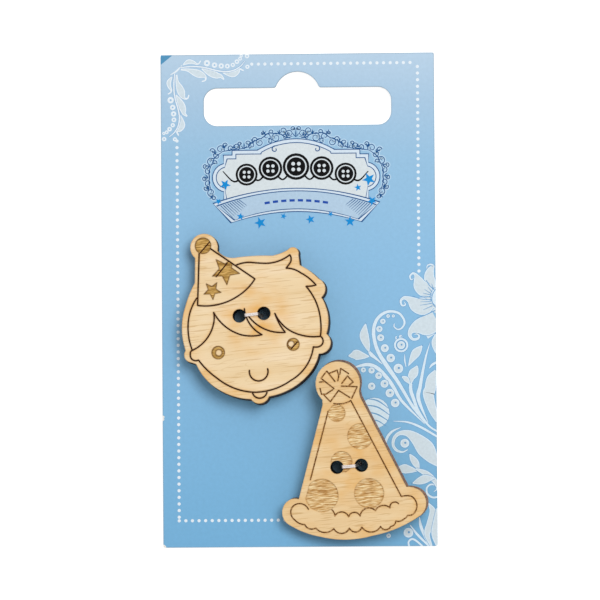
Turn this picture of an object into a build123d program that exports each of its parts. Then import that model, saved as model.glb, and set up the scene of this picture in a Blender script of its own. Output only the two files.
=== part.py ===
from build123d import *

import os
from math import cos, radians, sin, tan

# A hang card with two laser-cut wooden buttons, a face in a party hat and a party hat, each sewn on by
# a thread.
# The card lies on its back: +Z comes out of its front, +Y points to the hang slot and +X is to the right.
# The origin is under the card's centre, at the bottom of the knots that the card lies on. Lengths are in mm.

os.makedirs("parts", exist_ok=True)

# Card: one sheet of board
card_width = 47.0
card_height = 84.6
card_thickness = 0.45
card_corner_radius = 0.3

# Hang slot: a rounded slot with a round crown for a single hook
slot_width = 32.2
slot_height = 6.5
slot_corner_radius = 2.3
slot_drop = 5.8  # card's top edge down to the slot's straight upper edge
crown_radius = 3.9
crown_sink = 1.15  # crown's centre below the slot's straight upper edge
crown_blend_radius = 0.5

# Thread: one loop through both holes of a button, knotted behind the card
thread_diameter = 0.5
thread_sides = 8  # the plied thread's section, across its flats
thread_clearance = 0.05
needle_hole_diameter = 0.8
knot_diameter = 1.5
knot_height = 0.75
knot_rim = 0.25
tail_lengths = (2.2, 2.6)  # two straight runs of each loose end
tail_headings = ((-35, -75), (-160, -110))  # degrees, the two runs of each loose end

# Wooden buttons: cut and engraved by one laser from one board
button_thickness = 3.0
kerf_taper = 2.0  # degrees that the cut edge leans in towards the front
hole_diameter = 2.3
hole_spacing = 4.2
score_width = 0.24
score_depth = 0.35
raster_depth = 0.15
seat_clearance = 0.02

# Face button: place of its holes' middle on the card, its turn, its lean and the direction it leans up to
face_width = 25.8
face_height = 30.3
face_x = -7.75
face_y = -2.75
face_turn = 5.1
face_lean = 4.0
face_uphill = -45.0

# Hat button
hat_width = 24.9
hat_height = 30.6
hat_x = 8.85
hat_y = -28.35
hat_turn = 4.5
hat_lean = 7.0
hat_uphill = 45.0

# Levels, and what the lean of the cut edges takes off a button's width at its front
card_back = knot_height + thread_clearance
card_front = card_back + card_thickness
kerf_lean = 2 * button_thickness * tan(radians(kerf_taper))

# Drawings. A row is (x, y, bulge): a point as shares of the button's width and height from the middle of its
# holes, and the bulge of the arc to the next point: its height over its chord, positive to the left.
face_outline_shares = [
    (-0.343, 0.354, 0),
    (-0.360, 0.213, -0.030),
    (-0.439, 0.081, -0.065),
    (-0.473, -0.116, -0.007),
    (-0.463, -0.167, -0.280),
    (-0.437, -0.236, 0.030),
    (-0.400, -0.250, -0.091),
    (-0.235, -0.424, -0.055),
    (-0.056, -0.479, -0.309),
    (0.066, -0.474, -0.085),
    (0.337, -0.376, -0.070),
    (0.424, -0.260, -0.370),
    (0.487, -0.151, -0.087),
    (0.498, 0.010, -0.045),
    (0.476, 0.058, -0.279),
    (0.469, 0.166, -0.047),
    (0.352, 0.254, 0),
    (0.350, 0.314, -0.427),
    (0.282, 0.347, 0.037),
    (0.176, 0.323, -0.020),
    (-0.055, 0.334, 0.146),
    (-0.189, 0.383, -0.896),
]
hat_outline_shares = [
    (-0.142, 0.385, 0),
    (-0.144, 0.356, 0),
    (-0.370, -0.162, -0.070),
    (-0.420, -0.157, -0.337),
    (-0.443, -0.306, -0.046),
    (-0.243, -0.382, -0.065),
    (0.117, -0.400, -0.053),
    (0.454, -0.311, -0.321),
    (0.438, -0.152, -0.059),
    (0.382, -0.142, 0),
    (0.120, 0.381, 0.023),
    (0.116, 0.419, -0.897),
]

# Face button's scored lines
paper_hat_right_shares = [(-0.235, 0.397, 0), (0.044, 0.199, 0)]
paper_hat_hem_shares = [(0.044, 0.199, 0.06), (-0.084, 0.110, 0.09), (-0.352, 0.082, 0)]
paper_hat_left_shares = [(-0.352, 0.082, 0), (-0.310, 0.375, 0)]
face_line_shares = [
    paper_hat_right_shares,
    paper_hat_hem_shares,
    paper_hat_left_shares,
    [(-0.301, 0.380, 0), (-0.235, 0.434, 0)],  # crease across the pom-pom
    [(-0.212, 0.234, 0), (-0.131, 0.304, 0)],  # crease across the large star
    [(0.240, -0.215, 0), (0.285, -0.180, 0)],  # crease across the right cheek
    [(-0.077, 0.286, 0.06), (0.024, 0.295, -0.01), (0.114, 0.282, -0.09), (0.290, 0.315, 0)],  # top hair
    [(0.290, 0.315, 0.15), (0.286, 0.269, 0.02), (0.257, 0.242, 0)],  # cowlick
    [(0.257, 0.242, 0.08), (0.351, 0.207, 0.05), (0.444, 0.130, 0)],  # crown of the hair
    [(0.444, 0.130, 0.04), (0.378, 0.128, 0)],  # tuft
    [(0.378, 0.128, 0.08), (0.453, -0.073, 0.03), (0.442, -0.161, 0)],  # hair at the right
    [(0.442, -0.161, 0.29), (0.434, -0.216, 0.10), (0.389, -0.216, 0)],  # right ear
    [(0.389, -0.216, 0.12), (0.218, -0.393, 0.08), (-0.032, -0.438, 0)],  # jaw, right half
    [(-0.032, -0.438, 0.08), (-0.266, -0.339, 0.04), (-0.379, -0.226, 0)],  # jaw, left half
    [(-0.379, -0.226, 0.32), (-0.429, -0.187, 0.19), (-0.414, -0.168, 0)],  # left ear
    [(-0.414, -0.168, 0.07), (-0.415, 0.026, 0.05), (-0.352, 0.125, 0)],  # hair at the left
    [(-0.414, -0.168, -0.12), (-0.258, -0.032, -0.06), (-0.250, 0.034, 0)],  # fringe, left lock
    [(-0.250, 0.034, -0.10), (-0.081, -0.108, -0.06), (0.057, -0.119, 0)],  # fringe, middle lock
    [(0.057, -0.119, 0.13), (-0.044, 0.038, 0)],
    [(-0.020, -0.009, -0.13), (0.212, -0.119, 0)],  # fringe, right lock
    [(0.212, -0.119, 0.05), (0.155, -0.006, 0)],
    [(0.155, -0.006, -0.09), (0.264, -0.123, -0.07), (0.442, -0.161, 0)],  # fringe, side lock
    [(-0.048, -0.312, -0.63), (0.073, -0.313, 0)],  # smile
    [(-0.041, -0.441, -0.39), (0.055, -0.445, 0)],  # chin tuft
]

# Face button's shaded areas, as (x, y, radius) shares, with radii as shares of the width
pom_shares = (-0.280, 0.416, 0.0545)
cheek_shares = [(-0.244, -0.195, 0.044), (0.257, -0.191, 0.0425)]
cheek_shine_shares = [(-0.240, -0.196, 0.020), (0.244, -0.188, 0.019)]
star_shares = [(-0.145, 0.264, 0.100), (-0.246, 0.158, 0.064)]
star_points = 5
star_waist_share = 0.45  # inner radius over outer radius
star_turn = -90.0  # degrees, one tip points down

# Hat button's scored lines
pom_base_shares = [(-0.065, 0.356, -0.10), (0.053, 0.364, 0)]
cone_right_shares = [(0.053, 0.364, 0), (0.339, -0.192, 0)]
cone_left_shares = [(-0.275, -0.058, 0), (-0.109, 0.316, 0)]
spot_foot_shares = [(-0.205, -0.252, 0), (-0.300, -0.212, 0), (-0.322, -0.165, 0)]  # not scored
brim_top_shares = [
    (0.316, -0.231, -0.38),
    (0.254, -0.250, -0.26),
    (0.153, -0.259, -0.32),
    (0.044, -0.282, -0.35),
    (-0.035, -0.280, -0.32),
    (-0.129, -0.270, -0.10),
    (-0.146, -0.234, 0),
]
brim_foot_shares = [
    (-0.342, -0.304, -0.23),
    (-0.269, -0.328, -0.23),
    (-0.145, -0.340, -0.32),
    (-0.037, -0.344, -0.36),
    (0.048, -0.344, -0.28),
    (0.178, -0.349, -0.33),
    (0.247, -0.353, -0.20),
    (0.285, -0.326, -0.14),
    (0.348, -0.315, -0.13),
    (0.369, -0.299, 0),
]
brim_end_shares = [
    [(-0.307, -0.221, -0.27), (-0.413, -0.198, -0.22), (-0.408, -0.273, -0.11), (-0.342, -0.304, 0)],
    [(0.339, -0.192, 0.07), (0.408, -0.195, 0.25), (0.411, -0.294, 0.11), (0.369, -0.299, 0)],
]
pleat_shares = [
    [(-0.043, 0.477, 0), (-0.093, 0.539, 0), (-0.137, 0.501, 0), (-0.054, 0.438, 0)],
    [(-0.077, 0.525, 0), (-0.021, 0.539, 0), (-0.014, 0.505, 0), (-0.024, 0.480, 0)],
    [(-0.006, 0.514, 0), (0.004, 0.547, 0), (0.056, 0.514, 0)],
    [(0.002, 0.463, 0), (0.046, 0.502, 0), (0.081, 0.466, 0), (0.049, 0.448, 0)],
    [(-0.004, 0.449, 0), (0.106, 0.438, 0), (0.060, 0.375, 0)],
    [(0.049, 0.381, 0), (-0.024, 0.426, 0), (-0.088, 0.367, 0), (-0.131, 0.411, 0)],
    [(-0.063, 0.433, 0), (-0.115, 0.411, 0), (-0.144, 0.413, 0), (-0.150, 0.446, 0)],
    [(-0.151, 0.481, 0), (-0.118, 0.481, 0)],
]

# Hat button's spots, as (x, y, radius) shares, with radii as shares of the width
spot_shares = [
    (-0.052, 0.301, 0.060),
    (0.094, 0.161, 0.088),
    (-0.049, 0.027, 0.0745),
    (-0.206, -0.150, 0.1145),
    (0.120, -0.159, 0.103),
]


def draw(shares, width, height):
    """Lines and arcs through the rows of a drawing, in the line that is being built."""
    points = [Vector(x * width, y * height) for x, y, _ in shares]
    for start, end, (_, _, bulge) in zip(points, points[1:], shares):
        if bulge:
            SagittaArc(start, end, bulge * (end - start).length)
        else:
            Line(start, end)


def area(shares, width, height):
    """A sketch of the area inside a closed drawing."""
    with BuildSketch() as sketch:
        with BuildLine():
            draw(shares + shares[:1], width, height)
        make_face()
    return sketch.sketch


def scored(drawings, width, height):
    """A sketch of drawings that the laser's beam has widened, with a point at each end of a stretch."""
    with BuildSketch() as sketch:
        for shares in drawings:
            with BuildLine(mode=Mode.PRIVATE) as path:
                draw(shares, width, height)
            for stretch in path.edges():
                trace(stretch, score_width)
                for end in (0, 1):
                    with Locations(Location(stretch @ end, (0, 0, stretch.tangent_angle_at(end)))):
                        RegularPolygon(score_width / 2, 4)
    return sketch.sketch


def discs(rows, width, height):
    """A sketch of round areas."""
    with BuildSketch() as sketch:
        for x, y, radius in rows:
            with Locations((x * width, y * height)):
                Circle(radius * width)
    return sketch.sketch


def star(radius):
    """A sketch of a pointed star."""
    with BuildSketch() as sketch:
        corners = []
        for corner in range(2 * star_points):
            reach = radius * (star_waist_share if corner % 2 else 1)
            angle = radians(star_turn + 180 * corner / star_points)
            corners.append((reach * cos(angle), reach * sin(angle)))
        Polygon(*corners, align=None)
    return sketch.sketch


def leaning_plane(outline, x, y, turn, lean, uphill):
    """The plane of a button's back, which leans up and has its lowest edge on the card."""
    tilt = Rot(Z=uphill) * Rot(Y=-lean) * Rot(Z=turn - uphill)
    lowest = (Plane(tilt) * outline).bounding_box().min.Z
    return Plane(Pos(x, y, card_front + seat_clearance - lowest) * tilt)


def leg_head(top, side):
    """Where the thread turns over the button's face, hugging the inner wall of the hole at that side."""
    leg_reach = (hole_spacing - hole_diameter + thread_diameter) / 2 + thread_clearance
    return top.from_local_coords(Vector(side * leg_reach, 0, thread_diameter / 2 + thread_clearance))


def leg_point(top, side, level):
    """Where the thread's leg at that side passes a level."""
    head = leg_head(top, side)
    return head - top.z_dir * ((head.Z - level) / top.z_dir.Z)


face_outline = area(face_outline_shares, face_width, face_height)
face_back = leaning_plane(face_outline, face_x, face_y, face_turn, face_lean, face_uphill)
face_top = face_back.offset(button_thickness)

hat_outline = area(hat_outline_shares, hat_width, hat_height)
hat_back = leaning_plane(hat_outline, hat_x, hat_y, hat_turn, hat_lean, hat_uphill)
hat_top = hat_back.offset(button_thickness)

# Card, punched with the hang slot and pricked by the needle
with BuildPart() as card:
    with BuildSketch(Plane.XY.offset(card_back)):
        RectangleRounded(card_width, card_height, card_corner_radius)
        slot_top = card_height / 2 - slot_drop
        with BuildSketch(mode=Mode.SUBTRACT) as slot:
            with Locations((0, slot_top - slot_height / 2)):
                RectangleRounded(slot_width, slot_height, slot_corner_radius)
            with Locations((0, slot_top - crown_sink)):
                Circle(crown_radius)
            crown_feet = slot.vertices().filter_by_position(Axis.X, -crown_radius, crown_radius)
            fillet(crown_feet.group_by(Axis.Y)[-1], crown_blend_radius)
        for top in (face_top, hat_top):
            for side in (-1, 1):
                prick = leg_point(top, side, (card_back + card_front) / 2)
                with Locations((prick.X, prick.Y)):
                    Circle(needle_hole_diameter / 2, mode=Mode.SUBTRACT)
    extrude(amount=card_thickness)
card.part.label = "card"
export_step(card.part, "parts/card.step")

# Face button
paper_hat_shares = paper_hat_right_shares + paper_hat_hem_shares[1:] + paper_hat_left_shares[1:]
with BuildPart() as face_button:
    with BuildSketch(face_back):
        add(face_outline)
    with BuildSketch(face_top):
        add(scale(face_outline, by=1 - kerf_lean / face_width, mode=Mode.PRIVATE))
    loft(ruled=True)
    with BuildSketch(face_top):
        for x, y, radius in star_shares:
            with Locations((x * face_width, y * face_height)):
                add(star(radius * face_width))
        add(area(paper_hat_shares, face_width, face_height), mode=Mode.INTERSECT)
        add(discs([pom_shares, *cheek_shares], face_width, face_height))
        add(discs(cheek_shine_shares, face_width, face_height), mode=Mode.SUBTRACT)
    extrude(amount=-raster_depth, mode=Mode.SUBTRACT)
    with BuildSketch(face_top):
        add(scored(face_line_shares, face_width, face_height))
    extrude(amount=-score_depth, mode=Mode.SUBTRACT)
    with BuildSketch(face_top):
        with GridLocations(hole_spacing, 0, 2, 1):
            Circle(hole_diameter / 2)
    extrude(amount=-button_thickness, mode=Mode.SUBTRACT)
face_button.part.label = "face_button"
export_step(face_button.part, "parts/face_button.step")

# Hat button
cone_shares = pom_base_shares[:-1] + cone_right_shares + brim_top_shares + spot_foot_shares + cone_left_shares
hat_line_shares = [pom_base_shares, cone_right_shares, cone_left_shares, brim_top_shares, brim_foot_shares]
hat_line_shares += brim_end_shares + pleat_shares
with BuildPart() as hat_button:
    with BuildSketch(hat_back):
        add(hat_outline)
    with BuildSketch(hat_top):
        add(scale(hat_outline, by=1 - kerf_lean / hat_width, mode=Mode.PRIVATE))
    loft(ruled=True)
    with BuildSketch(hat_top):
        add(discs(spot_shares, hat_width, hat_height))
        add(area(cone_shares, hat_width, hat_height), mode=Mode.INTERSECT)
    extrude(amount=-raster_depth, mode=Mode.SUBTRACT)
    with BuildSketch(hat_top):
        add(scored(hat_line_shares, hat_width, hat_height))
    extrude(amount=-score_depth, mode=Mode.SUBTRACT)
    with BuildSketch(hat_top):
        with GridLocations(hole_spacing, 0, 2, 1):
            Circle(hole_diameter / 2)
    extrude(amount=-button_thickness, mode=Mode.SUBTRACT)
hat_button.part.label = "hat_button"
export_step(hat_button.part, "parts/hat_button.step")

# Threads: a loop round the bridge between a button's holes, its knot and its two loose ends behind the card
run_level = card_back - thread_clearance - thread_diameter / 2
for name, top in (("face_thread", face_top), ("hat_thread", hat_top)):
    left_foot, right_foot = (leg_point(top, side, run_level) for side in (-1, 1))
    left_head, right_head = (leg_head(top, side) for side in (-1, 1))
    knot_centre = (left_foot + right_foot) / 2
    with BuildPart() as thread:
        with BuildSketch():
            with Locations((knot_centre.X, knot_centre.Y)):
                RegularPolygon(knot_diameter / 2, thread_sides, major_radius=False)
        extrude(amount=knot_height)
        chamfer(thread.faces().filter_by(Axis.Z).edges(), knot_rim)
        with BuildLine() as loop:
            Polyline(knot_centre, left_foot, left_head, right_head, right_foot, knot_centre)
        with BuildSketch(Plane(origin=loop.line @ 0, z_dir=loop.line % 0)):
            RegularPolygon(thread_diameter / 2, thread_sides, major_radius=False)
        sweep(transition=Transition.RIGHT)
        for headings in tail_headings:
            corners = [knot_centre]
            for length, heading in zip(tail_lengths, headings):
                corners.append(corners[-1] + Vector(length, 0).rotate(Axis.Z, heading))
            with BuildLine() as tail:
                Polyline(*corners)
            with BuildSketch(Plane(origin=tail.line @ 0, z_dir=tail.line % 0)):
                RegularPolygon(thread_diameter / 2, thread_sides, major_radius=False)
            sweep(transition=Transition.RIGHT)
    thread.part.label = name
    export_step(thread.part, f"parts/{name}.step")
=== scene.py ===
# A hang card with two laser-cut wooden buttons sewn to it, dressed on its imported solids.
# Sizes are in millimetres and turn to metres where a mesh is made.
# The card lies on its back, with +Y up the card and +Z out of its printed front.

import math
from itertools import pairwise

import bmesh
import bpy
from mathutils import Euler, Matrix, Vector


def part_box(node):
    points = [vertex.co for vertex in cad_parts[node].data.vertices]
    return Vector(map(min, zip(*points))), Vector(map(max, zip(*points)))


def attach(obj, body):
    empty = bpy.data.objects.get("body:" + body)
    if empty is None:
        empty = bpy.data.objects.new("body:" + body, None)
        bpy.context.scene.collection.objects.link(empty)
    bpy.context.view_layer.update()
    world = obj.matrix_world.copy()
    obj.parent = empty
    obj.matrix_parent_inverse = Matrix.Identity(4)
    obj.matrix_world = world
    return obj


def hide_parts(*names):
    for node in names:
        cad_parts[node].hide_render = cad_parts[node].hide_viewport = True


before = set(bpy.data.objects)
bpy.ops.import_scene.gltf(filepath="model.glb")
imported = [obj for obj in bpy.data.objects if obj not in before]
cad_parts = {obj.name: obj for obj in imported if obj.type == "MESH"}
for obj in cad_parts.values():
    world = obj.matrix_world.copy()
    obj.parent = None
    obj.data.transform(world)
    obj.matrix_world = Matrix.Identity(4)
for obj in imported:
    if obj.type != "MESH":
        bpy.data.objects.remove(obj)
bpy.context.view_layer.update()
mm = 0.001

# Card: a sheet of coated board, printed with a blue that pales towards the top and die-cut with its slot.
# The back is bare white board, and the cut edges are grey. One edge and two corners are rubbed
# bare. The front is painted darker along its cut edges and under the buttons' sewing holes, as painted
# shade.
card_low, card_high = (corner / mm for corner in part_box("card"))
card_front = card_high.z
card_blues = [  # level on the card, and the blue of the print there
    (-42.3, "#72aed6"),
    (-15.0, "#81b7dd"),
    (7.0, "#89bbdf"),
    (24.0, "#93bedd"),
    (34.0, "#a4c4de"),
    (42.3, "#b5cee3"),
]
sewn_places = {  # middle of a button's holes, and its turn, lean and uphill direction in degrees
    "face": (-7.75, -2.75, 5.1, 4.0, -45.0),
    "hat": (8.85, -28.35, 4.5, 7.0, 45.0),
}
rubbed_spots = [  # place and reach
    (-23.5, -19.9, 0.28),
    (-23.5, -20.3, 0.24),
    (-23.5, -42.3, 0.5),
    (-23.5, 42.3, 0.3),
]
mottle_size = 0.6
fibre_size = 0.15  # board fibres are finer, and drawn as coarse as they need to show
ragged_reach = 0.5
edge_shade_reach = 0.3  # width of the painted shade along the card's cut edges
card_hole_shade_reach = (3.4, 4.2)  # where the painted shade under the sewing holes starts to thin out and where it ends


def linear(colour):
    """An sRGB hex colour as linear RGBA."""
    channels = [int(colour[start : start + 2], 16) / 255 for start in (1, 3, 5)]
    return [c / 12.92 if c <= 0.04045 else ((c + 0.055) / 1.055) ** 2.4 for c in channels] + [1.0]


def add_node(tree, kind, settings=(), links=()):
    """A node with its settings, which are properties, inputs or a ramp's stops, and its links by input.

    A link is a node, for its first output, or a node with the name of another output.
    """
    node = tree.nodes.new("ShaderNode" + kind)
    for name, value in dict(settings).items():
        if name == "stops":
            while len(node.color_ramp.elements) < len(value):
                node.color_ramp.elements.new(0.5)
            for element, (place, colour) in zip(node.color_ramp.elements, value):
                element.position = place
                element.color = linear(colour)
        elif isinstance(name, str) and hasattr(node, name):
            setattr(node, name, value)
        else:
            node.inputs[name].default_value = value
    for name, link in dict(links).items():
        source, output = link if isinstance(link, tuple) else (link, 0)
        tree.links.new(source.outputs[output], node.inputs[name])
    return node


def empty_tree(owner):
    """The node tree of a new material or world, with nothing in it."""
    owner.use_nodes = True
    owner.node_tree.nodes.clear()
    return owner.node_tree


# Coated board: smooth, with a thin varnish over the print, so it has a soft sheen and a faint mottle.
coated_board = bpy.data.materials.new("coated_board")
tree = empty_tree(coated_board)
surface = add_node(tree, "NewGeometry")
place = add_node(tree, "SeparateXYZ", links={"Vector": surface})
facing = add_node(tree, "SeparateXYZ", links={"Vector": (surface, "Normal")})
height = add_node(
    tree, "MapRange", {"From Min": card_low.y * mm, "From Max": card_high.y * mm}, {"Value": (place, "Y")}
)
card_length = card_high.y - card_low.y
blue = add_node(
    tree,
    "ValToRGB",
    {"stops": [((level - card_low.y) / card_length, colour) for level, colour in card_blues]},
    {"Fac": height},
)
mottle = add_node(tree, "TexNoise", {"Scale": 1 / (mottle_size * mm), "Detail": 3.0}, {"Vector": surface})
mottle_tone = add_node(
    tree,
    "MapRange",
    {"From Min": 0.3, "From Max": 0.7, "To Min": 0.975, "To Max": 1.025},
    {"Value": mottle},
)
printed = add_node(tree, "VectorMath", {"operation": "SCALE"}, {0: blue, "Scale": mottle_tone})
fibre = add_node(tree, "TexNoise", {"Scale": 1 / (fibre_size * mm), "Detail": 4.0}, {"Vector": surface})
bare = add_node(tree, "ValToRGB", {"stops": [(0.3, "#dcdad4"), (0.7, "#f2f1ed")]}, {"Fac": fibre})
ragged = add_node(tree, "Math", {"operation": "MULTIPLY", 1: ragged_reach * mm}, {0: mottle})
intact = add_node(tree, "Math", {"operation": "GREATER_THAN", 1: 0.9}, {0: (facing, "Z")})
for spot_x, spot_y, reach in rubbed_spots:
    spot = add_node(
        tree,
        "VectorMath",
        {"operation": "DISTANCE", 1: (spot_x * mm, spot_y * mm, card_front * mm)},
        {0: surface},
    )
    torn = add_node(tree, "Math", {"operation": "ADD"}, {0: (spot, "Value"), 1: ragged})
    kept = add_node(
        tree, "Math", {"operation": "GREATER_THAN", 1: (reach + ragged_reach / 2) * mm}, {0: torn}
    )
    intact = add_node(tree, "Math", {"operation": "MULTIPLY"}, {0: intact, 1: kept})
# Painted shade: the front darkens along its cut edges, where ambient occlusion inside the board finds an
# edge.
rim = add_node(
    tree,
    "AmbientOcclusion",
    {"inside": True, "only_local": True, "samples": 8, "Distance": edge_shade_reach * mm},
)
edge_shade = add_node(
    tree,
    "MapRange",
    {"From Min": 0.9, "From Max": 0.5, "To Min": 0.0, "To Max": 0.6},
    {"Value": (rim, "AO")},
)
shaded_print = add_node(tree, "MixRGB", {"Color2": linear("#7d93a3")}, {"Fac": edge_shade, "Color1": printed})
# The cut edges are a mid grey.
upright = add_node(tree, "Math", {"operation": "COMPARE", 1: 0.0, 2: 0.5}, {0: (facing, "Z")})
board = add_node(tree, "MixRGB", {"Color2": linear("#9a9da0")}, {"Fac": upright, "Color1": bare})
# Painted shade: the card is darkened round the middle of each button's holes.
for middle_x, middle_y, *_ in sewn_places.values():
    from_middle = add_node(
        tree,
        "VectorMath",
        {"operation": "DISTANCE", 1: (middle_x * mm, middle_y * mm, card_front * mm)},
        {0: surface},
    )
    card_hole_shade = add_node(
        tree,
        "MapRange",
        {"From Min": card_hole_shade_reach[0] * mm, "From Max": card_hole_shade_reach[1] * mm, "To Min": 0.75, "To Max": 0.0},
        {"Value": (from_middle, "Value")},
    )
    shaded_print = add_node(tree, "MixRGB", {"Color2": linear("#20292f")}, {"Fac": card_hole_shade, "Color1": shaded_print})
shown = add_node(tree, "MixRGB", links={"Fac": intact, "Color1": board, "Color2": shaded_print})
sheen = add_node(tree, "MapRange", {"To Min": 0.85, "To Max": 0.42}, {"Value": intact})
tooth = add_node(tree, "Bump", {"Strength": 0.15, "Distance": 0.01 * mm}, {"Height": fibre})
finish = add_node(
    tree,
    "BsdfPrincipled",
    {"IOR": 1.48, "Specular IOR Level": 0.25},
    {"Base Color": shown, "Roughness": sheen, "Normal": tooth},
)
add_node(tree, "OutputMaterial", links={"Surface": finish})
for material_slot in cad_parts["card"].material_slots:
    material_slot.material = coated_board

# Dot border: small white spots, printed in a line a few millimetres inside the card's edges.
# They lie on the blue as a film of opaque white ink.
spot_diameter = 0.55
spot_pitch = 1.133
border_runs = [  # first spot, direction and number of spots
    (-20.75, 27.5, 0, -1, 58),
    (-7.8, 40.6, 1, 0, 25),
    (20.65, 39.9, 0, -1, 32),
    (-20.75, -37.7, 1, 0, 28),
]
ink_layer = 0.0015  # thin enough for the print to stay clear of the buttons
ink_soak = 0.004  # how far a film reaches into the board
ink_mottle = 0.45
trim_margin = 0.01
disc_steps = 10


def printed_ink(name, colour, gloss=0.25):
    """Offset ink under varnish: dense and even, with the faint mottle that it takes from the board."""
    ink = bpy.data.materials.new(name)
    tree = empty_tree(ink)
    surface = add_node(tree, "NewGeometry")
    mottle = add_node(
        tree, "TexNoise", {"Scale": 1 / (ink_mottle * mm), "Detail": 3.0}, {"Vector": surface}
    )
    tone = add_node(
        tree,
        "MapRange",
        {"From Min": 0.3, "From Max": 0.7, "To Min": 0.95, "To Max": 1.04},
        {"Value": mottle},
    )
    shown = add_node(tree, "VectorMath", {"operation": "SCALE", 0: linear(colour)[:3]}, {"Scale": tone})
    finish = add_node(
        tree,
        "BsdfPrincipled",
        {"Roughness": 0.42, "IOR": 1.48, "Specular IOR Level": gloss},
        {"Base Color": shown},
    )
    add_node(tree, "OutputMaterial", links={"Surface": finish})
    return ink


def disc(x, y, radius):
    """A round spot, as rungs from its foot to its top."""
    rungs = []
    for step in range(disc_steps + 1):
        angle = math.pi * step / disc_steps
        level = y - radius * math.cos(angle)
        reach = radius * math.sin(angle)
        rungs.append((Vector((x - reach, level)), Vector((x + reach, level))))
    return rungs


def print_on_card(name, marks):
    """Films of ink on the card's front. Each mark, a shape in rungs and its ink, lies on those before."""
    inks = list(dict.fromkeys(ink for _, ink in marks))
    films = bmesh.new()
    laid = []
    for rungs, ink in marks:
        if len(rungs) < 2:
            continue
        across, along = ([spot[axis] for rung in rungs for spot in rung] for axis in (0, 1))
        left, right, foot, head = min(across), max(across), min(along), max(along)
        under = [0]
        for other_left, other_right, other_foot, other_head, other_layer in laid:
            if left < other_right and other_left < right and foot < other_head and other_foot < head:
                under.append(other_layer)
        layer = 1 + max(under)
        laid.append((left, right, foot, head, layer))
        low, high = card_front - ink_soak, card_front + layer * ink_layer
        rings = []
        for left, right in rungs:
            ring = []
            for spot, level in ((left, low), (right, low), (right, high), (left, high)):
                ring.append(films.verts.new((spot.x * mm, spot.y * mm, level * mm)))
            rings.append(ring)
        walls = [films.faces.new(rings[0][::-1]), films.faces.new(rings[-1])]
        for near, far in pairwise(rings):
            for corner in range(4):
                after = (corner + 1) % 4
                walls.append(films.faces.new((near[corner], near[after], far[after], far[corner])))
        for wall in walls:
            wall.material_index = inks.index(ink)
    bmesh.ops.dissolve_degenerate(films, dist=1e-8, edges=films.edges)
    for corner, outward in (
        (card_low, (-1, 0, 0)),
        (card_low, (0, -1, 0)),
        (card_high, (1, 0, 0)),
        (card_high, (0, 1, 0)),
    ):
        cut = bmesh.ops.bisect_plane(
            films,
            geom=films.verts[:] + films.edges[:] + films.faces[:],
            plane_co=corner * mm - trim_margin * mm * Vector(outward),
            plane_no=outward,
            clear_outer=True,
        )
        rim = [edge for edge in cut["geom_cut"] if isinstance(edge, bmesh.types.BMEdge)]
        bmesh.ops.holes_fill(films, edges=rim)
    bmesh.ops.recalc_face_normals(films, faces=films.faces)
    mesh = bpy.data.meshes.new(name)
    films.to_mesh(mesh)
    films.free()
    for ink in inks:
        mesh.materials.append(ink)
    piece = bpy.data.objects.new(name, mesh)
    bpy.context.scene.collection.objects.link(piece)
    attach(piece, "root")


white_ink = printed_ink("opaque_white_ink", "#e4edf4")
border_spots = []
for start_x, start_y, step_x, step_y, count in border_runs:
    for index in range(count):
        spot_x = start_x + index * spot_pitch * step_x
        spot_y = start_y + index * spot_pitch * step_y
        border_spots.append((disc(spot_x, spot_y, spot_diameter / 2), white_ink))
print_on_card("dot_border", border_spots)

# Corner flourish: two sprays of leaves and ring-shaped berries, printed along the edges that meet there.
# Each stroke gives the distance along its edge, the distance in from that edge, and the line's width.
flourish_leaves = [
    [
        (3.9, 1.7, 0.1), (4.4, 1.35, 0.5), (4.9, 1.15, 0.68), (5.6, 1.25, 0.5), (6.3, 1.6, 0.2),
        (6.7, 1.4, 0.12), (6.9, 1.0, 0.1),
    ],
    [
        (3.5, 2.5, 0.2), (4.7, 2.6, 0.45), (5.8, 3.0, 1.05), (6.6, 3.3, 1.2), (7.3, 3.55, 0.8),
        (7.75, 3.9, 0.25), (7.7, 4.4, 0.15), (7.1, 4.6, 0.1),
    ],
    [
        (7.1, 2.4, 0.1), (8.0, 2.9, 0.7), (8.9, 3.3, 1.1), (9.7, 3.6, 0.95), (10.4, 3.75, 0.5),
        (10.9, 4.3, 0.12),
    ],
    [
        (10.7, 3.1, 0.1), (11.8, 3.35, 0.7), (12.6, 3.4, 0.9), (13.3, 2.95, 0.6), (13.6, 2.5, 0.2),
        (14.3, 2.8, 0.12),
    ],
]
flourish_stem = [
    (3.3, 2.2, 0.2), (4.7, 2.05, 0.24), (6.5, 2.05, 0.26), (8.0, 2.3, 0.26), (9.7, 2.75, 0.26),
    (11.1, 2.95, 0.26), (12.5, 2.75, 0.24), (13.7, 2.1, 0.2), (14.5, 1.2, 0.14),
]
flourish_berries = [
    (8.0, 1.45, 0.5), (9.3, 1.8, 0.43), (10.45, 1.95, 0.42), (11.5, 2.0, 0.38), (12.45, 1.8, 0.34),
    (13.15, 1.25, 0.36), (13.7, 0.75, 0.3), (13.9, 0.25, 0.25), (14.95, 2.15, 0.33), (14.9, 0.3, 0.35),
]
flourish_joint = [(-21.8, 38.9, 0.12), (-20.8, 39.5, 0.3), (-19.8, 40.5, 0.15)]
corner_flap = [(0.0, 0.0), (0.9, 0.5), (2.1, 1.7)]  # reach of the corner's dark tip along both edges
stroke_step = 0.3
finest_line = 0.03
leaf_shade = 0.3
leaf_edge = 0.14
leaf_rim = 0.2
stem_edge = 0.12
berry_ring = 1.1
berry_eye = 0.36
side_shift = 0.25  # the spray down the side lies further in and is a little shorter
side_share = 0.97


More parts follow.
